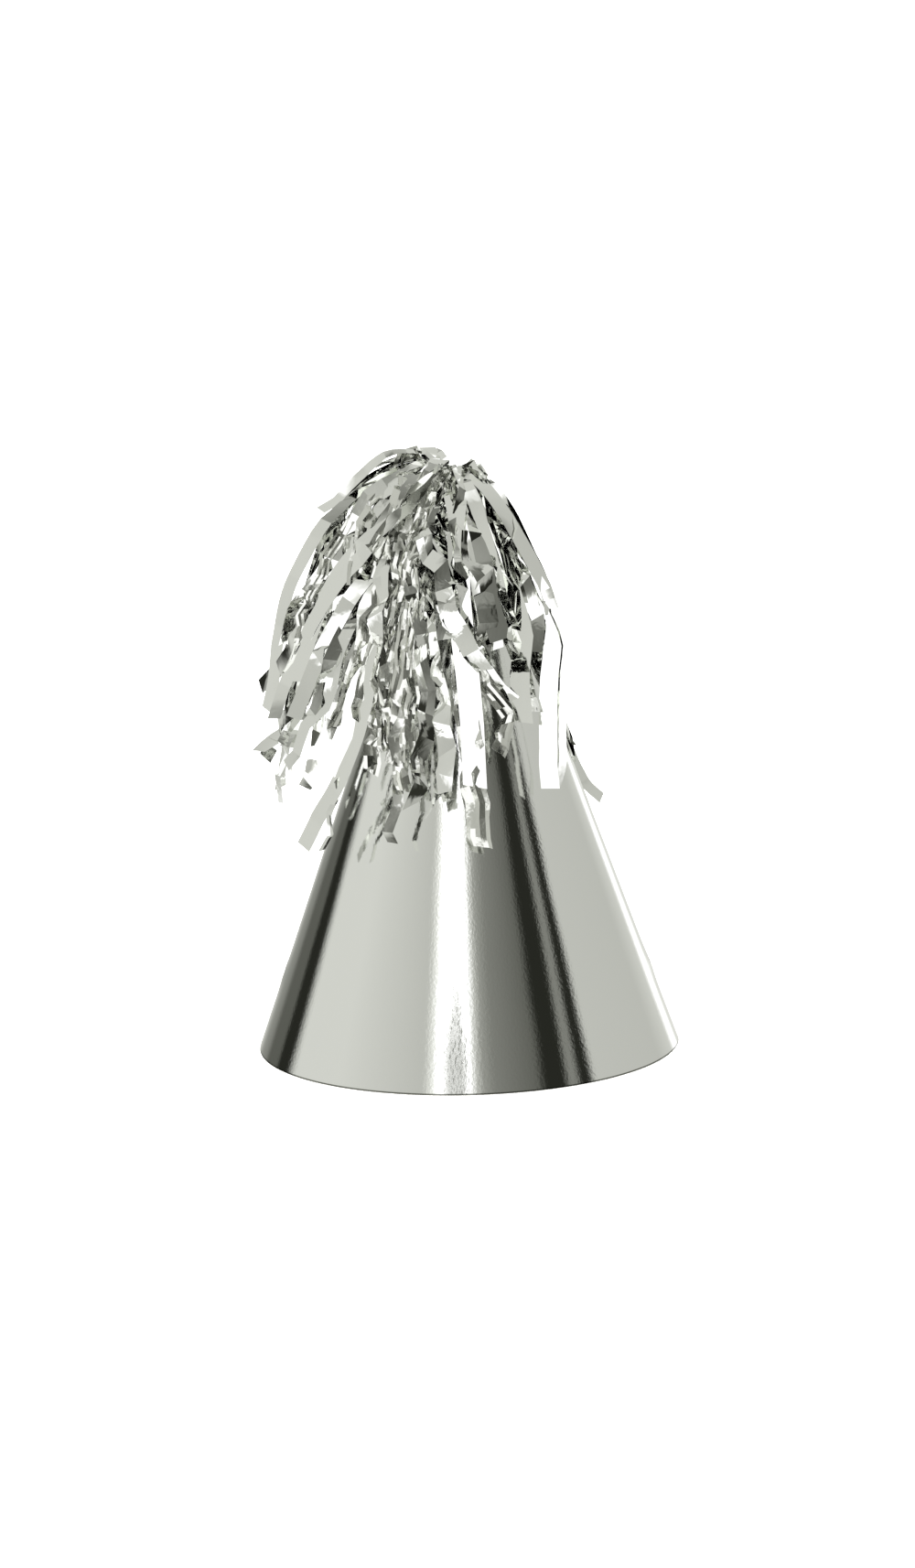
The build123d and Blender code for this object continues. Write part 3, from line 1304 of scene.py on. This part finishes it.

# The listed strips, by lock and kind. Their order settles which creases each one gets.
LAID: dict[tuple[str, Kind], tuple[Laid, ...]] = {
    ("front", Kind.PLAIN): (
        Laid(6.6, -6, ((0.0, -25.0, 138.4), (0.6, -29.0, 123.5), (1.6, -33.0, 111.2),
            (2.5, -36.4, 98.9), (3.6, -39.8, 83.8))),
        Laid(4.6, -32, ((2.1, -10.8, 164.9), (5.5, -16.1, 159.3), (9.5, -21.5, 145.9),
            (13.7, -25.6, 130.3), (18.8, -27.1, 111.6), (20.7, -27.6, 102.2))),
        Laid(2.4, -8, ((0.0, -8.0, 166.0), (0.7, -12.0, 161.8), (2.3, -17.9, 154.8),
            (3.6, -21.7, 147.6), (5.1, -26.5, 136.0))),
        Laid(6.4, 13, ((2.9, -6.4, 166.7), (4.3, -11.2, 161.8), (5.6, -17.1, 153.7),
            (6.7, -21.0, 146.6), (8.1, -25.2, 135.7), (11.4, -27.7, 123.0))),
        Laid(6.5, -42, ((18.4, -28.0, 125.5), (17.6, -30.8, 117.7), (17.2, -32.8, 109.5),
            (17.7, -34.2, 100.6))),
    ),
    ("front", Kind.CREASED): (
        Laid(5.2, -40, ((-8.6, -24.5, 143.8), (-8.2, -29.9, 129.2), (-6.6, -33.9, 114.3),
            (-5.2, -37.6, 99.3), (-4.4, -42.3, 80.4))),
        Laid(5.0, 8, ((-10.1, -9.7, 163.2), (-12.8, -15.4, 157.8), (-9.4, -23.2, 150.9),
            (-5.0, -27.6, 144.3), (-1.7, -31.0, 132.6), (-3.5, -32.3, 124.3))),
        Laid(5.6, 24, ((2.6, -16.8, 156.4), (4.4, -21.6, 147.6), (7.0, -24.5, 140.8),
            (7.4, -27.5, 128.3), (4.8, -30.6, 118.0))),
        Laid(4.8, 26, ((-12.2, -25.2, 142.7), (-12.2, -28.5, 134.2), (-10.9, -31.7, 124.4),
            (-10.1, -34.0, 114.4), (-9.7, -36.7, 101.9), (-11.6, -38.3, 89.2),
            (-12.9, -40.0, 78.5))),
        Laid(3.0, 14, ((-16.2, -34.4, 106.8), (-17.9, -36.9, 91.6), (-19.3, -39.0, 79.0),
            (-19.8, -41.5, 68.6))),
        Laid(4.0, 25, ((-1.7, -5.8, 167.8), (-1.1, -11.9, 162.1), (-0.6, -18.0, 154.9),
            (0.2, -23.0, 145.9), (1.2, -26.5, 136.1))),
        Laid(4.6, 40, ((-4.3, -4.2, 168.1), (-7.0, -10.9, 162.1), (-6.3, -19.0, 153.1),
            (-3.4, -24.8, 144.8), (-0.8, -28.0, 139.1))),
        Laid(4.4, 30, ((-3.0, -14.7, 157.4), (0.3, -22.0, 148.3), (3.0, -26.3, 136.0),
            (1.7, -28.9, 126.1))),
        Laid(6.0, -43, ((-3.7, -30.8, 134.0), (-0.3, -33.5, 127.6), (3.4, -35.0, 121.6),
            (6.3, -36.1, 116.0))),
        Laid(5.2, -30, ((1.0, -29.0, 126.1), (5.7, -30.5, 119.8), (10.3, -31.3, 112.0),
            (14.6, -31.3, 106.6))),
    ),
    ("front", Kind.CRINKLED): (
        Laid(7.0, -22, ((1.3, -32.5, 108.5), (2.3, -35.6, 98.7), (3.2, -39.1, 86.3),
            (4.7, -44.2, 67.5))),
        Laid(4.6, 10, ((2.8, -20.8, 148.0), (3.2, -25.8, 133.3), (5.1, -30.6, 117.2),
            (9.5, -32.1, 108.2), (12.9, -32.0, 101.0), (9.8, -35.7, 92.7))),
        Laid(4.2, -5, ((-11.1, -19.0, 154.6), (-12.8, -27.1, 139.2), (-14.5, -31.3, 124.4),
            (-16.2, -33.8, 109.3), (-17.1, -36.7, 94.2), (-16.9, -39.5, 83.0))),
        Laid(4.0, 24, ((-10.1, -24.0, 143.7), (-11.5, -29.3, 131.8), (-13.4, -32.9, 116.9),
            (-13.3, -36.1, 101.8), (-12.9, -38.9, 88.0))),
        Laid(5.0, -20, ((-13.1, -24.7, 146.1), (-14.0, -28.6, 134.3), (-15.9, -31.8, 120.6),
            (-17.3, -34.6, 106.9), (-18.7, -37.6, 91.8))),
    ),
    ("front_right", Kind.PLAIN): (
        Laid(5.0, 48, ((2.1, -6.7, 167.3), (7.5, -9.4, 164.5), (13.2, -13.7, 157.9),
            (17.6, -16.3, 150.1), (22.0, -17.3, 142.1), (25.2, -16.3, 134.7),
            (26.1, -16.8, 127.7))),
        Laid(4.0, -7, ((23.2, -17.5, 136.3), (26.6, -16.9, 128.8), (27.7, -18.0, 120.5),
            (27.7, -20.6, 110.6), (27.8, -22.0, 97.7), (27.6, -24.7, 87.2), (25.3, -28.4, 80.7))),
        Laid(5.2, -6, ((25.1, -19.8, 123.6), (25.3, -22.7, 112.4), (24.5, -26.7, 100.1),
            (23.9, -29.8, 88.9), (24.5, -31.6, 80.9))),
    ),
    ("front_right", Kind.CREASED): (
        Laid(5.4, 25, ((17.5, -20.6, 137.1), (19.6, -22.7, 131.7), (21.5, -23.7, 124.5),
            (20.8, -25.6, 119.1))),
        Laid(5.0, -42, ((6.0, -5.3, 165.9), (13.0, -9.3, 159.1), (14.7, -16.3, 149.4),
            (15.9, -20.5, 137.1), (14.0, -26.5, 125.3), (16.3, -28.1, 115.1))),
        Laid(4.2, -40, ((9.8, -11.3, 156.5), (15.6, -16.9, 144.3), (20.5, -19.1, 134.1),
            (22.8, -21.1, 121.3))),
    ),
    ("back_right", Kind.PLAIN): (
        Laid(4.0, 46, ((23.0, 16.0, 129.6), (24.7, 18.7, 113.1), (26.9, 20.7, 95.2),
            (30.3, 21.2, 81.6), (34.5, 20.2, 71.7), (39.9, 18.5, 66.6))),
    ),
    ("front_left", Kind.PLAIN): (
        Laid(2.8, 10, ((-17.6, -0.1, 172.4), (-23.6, -0.2, 167.8), (-30.8, -0.4, 162.3),
            (-37.6, -5.5, 156.6))),
        Laid(4.3, -36, ((-26.4, -0.3, 161.9), (-32.4, -6.2, 157.7), (-37.6, -10.2, 153.6),
            (-43.6, -11.1, 143.4), (-48.7, -5.7, 131.9), (-50.9, -3.5, 119.7),
            (-52.5, -7.5, 108.1), (-54.5, -7.3, 100.4))),
        Laid(5.0, -43, ((-11.7, -16.2, 161.9), (-18.0, -20.2, 156.8), (-28.2, -19.0, 148.0),
            (-35.7, -18.0, 137.5), (-41.6, -17.2, 122.2), (-45.8, -17.4, 110.6))),
        Laid(4.6, -43, ((-25.4, -21.1, 148.8), (-31.2, -19.9, 143.0), (-38.2, -17.4, 131.4),
            (-43.2, -15.9, 122.0), (-49.2, -13.3, 109.8), (-52.5, -19.4, 100.3))),
        Laid(4.4, -8, ((-27.7, -23.0, 138.8), (-34.2, -22.7, 128.4), (-38.5, -21.3, 120.4),
            (-42.4, -20.3, 111.1), (-46.8, -20.2, 100.6))),
        Laid(3.9, -8, ((-24.4, -25.1, 136.5), (-26.6, -27.2, 123.9), (-29.2, -28.8, 112.0),
            (-32.4, -29.8, 98.4), (-34.8, -30.1, 85.3))),
        Laid(5.0, -36, ((-22.2, -28.4, 124.0), (-25.9, -30.5, 108.8), (-28.8, -31.9, 97.4),
            (-34.6, -30.3, 84.1), (-40.4, -25.1, 73.8), (-45.6, -20.5, 63.9))),
        Laid(5.0, -42, ((-43.6, -12.9, 124.0), (-47.7, -11.0, 117.4), (-52.1, -6.1, 111.0),
            (-56.3, -1.3, 105.3))),
    ),
    ("front_left", Kind.CREASED): (
        Laid(5.0, 22, ((-23.8, -7.6, 159.8), (-29.2, -10.4, 152.1), (-34.3, -10.9, 143.9),
            (-39.7, -10.3, 136.6), (-45.1, -9.1, 129.1), (-47.4, -7.3, 120.4))),
        Laid(2.2, -40, ((-29.8, -26.7, 100.3), (-34.2, -29.2, 87.8), (-37.2, -28.7, 74.5),
            (-39.3, -29.3, 64.1))),
        Laid(4.2, -25, ((-35.8, -20.0, 125.3), (-40.6, -19.5, 112.2), (-46.9, -14.3, 102.0),
            (-53.0, -1.1, 92.7), (-57.4, -1.3, 87.0))),
        Laid(4.0, 20, ((-32.5, -25.0, 123.6), (-38.0, -24.0, 109.1), (-44.8, -19.8, 99.2),
            (-53.1, -1.1, 88.7), (-55.9, -1.2, 84.8))),
        Laid(4.0, -30, ((-31.1, -25.1, 126.2), (-36.2, -25.0, 110.6), (-40.9, -23.2, 101.1),
            (-45.0, -21.9, 93.8), (-48.8, -20.7, 86.8))),
        Laid(3.8, -6, ((-29.3, -27.3, 118.7), (-34.3, -27.6, 105.8), (-39.2, -27.7, 94.9),
            (-43.1, -27.3, 86.3), (-45.0, -26.0, 81.5))),
        Laid(5.0, -43, ((-6.8, -1.6, 168.7), (-11.6, -7.8, 162.9), (-17.4, -11.7, 158.3),
            (-23.3, -17.3, 150.6), (-26.6, -19.6, 143.3))),
        Laid(4.2, -40, ((-21.5, -8.1, 158.8), (-27.4, -9.6, 153.2), (-31.7, -12.3, 144.6),
            (-37.2, -14.7, 132.1), (-40.6, -14.1, 121.6))),
    ),
    ("front_left", Kind.CRINKLED): (
        Laid(5.6, 22, ((-12.9, -0.1, 172.5), (-13.6, -0.1, 166.8), (-15.0, -13.2, 161.4),
            (-18.3, -19.9, 154.9), (-22.8, -22.4, 147.4))),
        Laid(4.4, 5, ((-13.1, -17.7, 157.0), (-17.8, -24.2, 144.0), (-22.0, -27.2, 129.0),
            (-25.8, -29.2, 113.8), (-28.7, -30.6, 101.1))),
        Laid(4.8, 16, ((-12.3, -18.2, 155.7), (-15.3, -25.8, 141.6), (-18.3, -29.9, 126.8),
            (-21.2, -32.1, 111.7), (-23.6, -34.1, 99.1), (-25.7, -35.7, 87.6))),
        Laid(4.4, 20, ((-15.0, -20.0, 152.2), (-20.5, -25.9, 139.2), (-26.0, -27.7, 124.0),
            (-30.2, -28.5, 112.5), (-34.9, -28.4, 99.4))),
        Laid(3.8, 12, ((-12.0, -23.1, 148.8), (-16.5, -28.0, 134.3), (-20.0, -31.1, 119.3),
            (-20.1, -34.6, 104.3), (-19.2, -37.9, 90.6))),
        Laid(3.2, 12, ((-32.6, -9.7, 150.7), (-38.0, -12.5, 140.9), (-42.4, -11.8, 131.7),
            (-44.7, -14.4, 121.8), (-48.2, -11.4, 111.2))),
        Laid(4.2, 18, ((-18.6, -0.1, 163.0), (-24.2, -9.6, 157.0), (-27.4, -18.3, 148.3),
            (-29.3, -21.0, 138.4))),
        Laid(6.0, 30, ((-11.1, -0.0, 173.0), (-12.3, -0.1, 167.5), (-13.4, -8.7, 163.9))),
        Laid(5.0, 16, ((-15.1, -23.0, 148.9), (-16.4, -27.4, 136.8), (-18.9, -30.7, 123.1),
            (-21.3, -33.2, 108.0), (-20.7, -36.0, 94.1))),
    ),
}  # fmt: skip


@dataclass
class Fringe:
    """The whole fringe: each lock's three leaves of strips, folded over at the crown.

    fold, loose_from and axis_height are not used. levels are the shared heights at which a lock's
    reach is given, and joint one more between the last two, all in millimetres. gap is the least
    room between the cone and a strip, also in millimetres.
    """

    shape: ConeShape
    axis_height: float = 176.3 * MM
    crown: float = 172 * MM
    fold: float = 5.0 * MM
    loose_from: float = 12.0 * MM
    film: float = 0.05 * MM
    levels: tuple[float, float, float, float] = (157, 136, 120, 93)
    joint: float = 106
    gap: float = 1.2
    seed: int = 20

    def build(self) -> list[Object]:
        """Makes every leaf as its own piece.

        Returns:
            The leaves.
        """
        films = [film.material() for film in (PLAIN_FILM, CREASED_FILM, CRIMPED)]
        return [self._leaf(lock, layer, films) for lock in LOCKS for layer in range(len(LAYERS))]

    def _leaf(self, lock: Lock, layer: int, films: list[Material]) -> Object:
        """Lays one leaf's strips, and hides the imported leaf that it replaces.

        Args:
            lock: The lock that it hangs in.
            layer: Its place in LAYERS.
            films: The finishes, in the order of Kind.

        Returns:
            The leaf.
        """
        word, _, usual, _ = LAYERS[layer]
        rng = random.Random(f"{self.seed} {lock.name} {word}")
        ribbon = Ribbon(self.shape, films)
        for laid in LAID.get((lock.name, usual), ()):
            ribbon.lay(self._by_hand(laid, usual), rng)
        for number in range(lock.counts[layer]):
            strip = self._at_random(lock, layer, number, rng)
            ribbon.lay(strip, rng)
        piece = ribbon.piece(f"fringe_{lock.name}_{word}", self.film)
        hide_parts(f"leaf_{lock.name}_{word}")
        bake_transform(piece)
        LOG.info("%s: %d faces, %.0f cm2 of film", piece.name, len(ribbon.faces), ribbon.area * 1e4)
        return piece

    def _by_hand(self, laid: Laid, kind: Kind) -> Strip:
        """Turns a listed strip's points into a strip that rises out of the bundle.

        A strip whose points start low first folds over the crown and drops beside the tip. One
        whose points start high but far out arches over to them.

        Args:
            laid: The listed strip.
            kind: Its kind.

        Returns:
            The strip.
        """
        points = [Vector(p) * MM for p in laid.points]
        first = points[0]
        level = Vector((first.x, first.y, 0))
        away = level.length
        lead = level.normalized() if away > 0.1 * MM else Vector((0, -1, 0))
        path = [(2.0 * MM, 157 * MM), (3.2 * MM, 165 * MM)]
        if first.z < 145 * MM:
            path += [(7 * MM, 167.5 * MM), (13 * MM, 154 * MM)]
        elif away > 13 * MM:
            path.append((0.45 * away, self.crown - 0.25 * (self.crown - first.z)))
        start = [lead * out + UP * height for out, height in path]
        face = toward(laid.face - 90)
        return Strip(kind, laid.width * MM, tuple(start + points), lead, face, True)

    def _at_random(self, lock: Lock, layer: int, number: int, rng: random.Random) -> Strip:
        """Makes up one strip of a leaf.

        Args:
            lock: The lock it hangs in.
            layer: Its leaf, 0 for the outermost.
            number: Its place in the leaf.
            rng: Where its shape comes from.

        Returns:
            The strip.
        """
        _, share, _, chances = LAYERS[layer]
        kind = rng.choices(list(Kind), weights=chances)[0]
        width = rng.uniform(*HABITS[kind].width)
        place = (number + 0.5) / lock.counts[layer] * 2 - 1
        bearing = lock.bearing + lock.spread * place + rng.gauss(0, 3)
        swing = rng.gauss(0, 5)
        share = share * rng.uniform(0.84, 1.03)
        end = rng.uniform(*lock.ends) + 4 * layer
        fold = lock.crest[0] * share
        crest = lock.crest[1] - (1 - share) * 9 - abs(rng.gauss(0, 1.2))
        high, middle, low, _ = self.levels
        reach = [self._reach(level, out, share) for level, out in zip(self.levels, lock.reach)]
        # Each point's radius and height in millimetres, and its share of the strip's swing.
        shape = [
            (rng.uniform(0.8, 2.2), high - 1, -0.8),
            (rng.uniform(1.8, 3.2), high + 7, -0.6),
            (0.55 * fold + 1, crest - rng.uniform(0.5, 1.5), -0.4),
            (fold + 1, crest - rng.uniform(0.0, 1.0), -0.3),
            (fold + 0.55 * (reach[0] - fold), high + 0.62 * (crest - high), -0.1),
            (reach[0], high, 0.0),
            (reach[1], middle, 0.3),
        ]
        # A level well above the strip's end has a point too, and a long strip one at its end.
        if end < low + 12:
            shape.append((reach[2], low, 0.6))
        for level, swung, least in ((self.joint, 0.8, 8), (end, 1.0, -6)):
            if end < self.joint + least:
                out = self._reach(level, self._wide(lock, level), share)
                shape.append((out, level, swung))
        points = []
        for radius, height, when in shape:
            a = math.radians(bearing + swing * when + rng.gauss(0, 1.0))
            points.append(around(a, radius, height) * MM)
        face = toward(bearing + rng.uniform(-110, 110))
        return Strip(kind, width, tuple(points), toward(bearing), face, False)

    def _wide(self, lock: Lock, level: float) -> float:
        """A lock's outermost radius at any level below the third."""
        (z2, z3), (r2, r3) = self.levels[2:], lock.reach[2:]
        return r2 + (r3 - r2) * (z2 - level) / (z2 - z3)

    def _reach(self, level: float, outermost: float, share: float) -> float:
        """Radius at a level for a strip at a share of the way out from the cone."""
        wall = self.shape.radius(level * MM) / MM + self.gap
        return wall + max(0.0, outermost - wall) * share


# ------------------------------------------------------------------ parts kept as packed
def dress_small_parts() -> list[str]:
    """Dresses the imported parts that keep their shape.

    Returns:
        Their names.
    """
    parts = {"seam_glue": DRIED_GLUE, "wire_tie": TIE_WIRE, "tip_glue": HOT_MELT}
    for name, finish in parts.items():
        dress(bpy.data.objects[name], finish.material())
    return list(parts)


def main() -> None:
    """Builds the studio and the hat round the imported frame."""
    logging.basicConfig(level=logging.INFO, format="%(message)s")
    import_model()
    Studio().build()
    shape = ConeShape.from_frame()
    rim, tip = shape.rim_radius / MM, shape.tip_height / MM
    LOG.info("cone: rim radius %.1f mm, tip at %.1f mm", rim, tip)
    for piece in (*RolledCone(shape).build(), FringeBundle().build()):
        LOG.info("%s: %d faces", piece.name, len(piece.data.polygons))
    LOG.info("dressed %s", ", ".join(dress_small_parts()))
    for piece in Fringe(shape).build():
        LOG.info("%s: %d faces with its thickness", piece.name, len(piece.data.polygons))


if __name__ == "__main__":
    main()
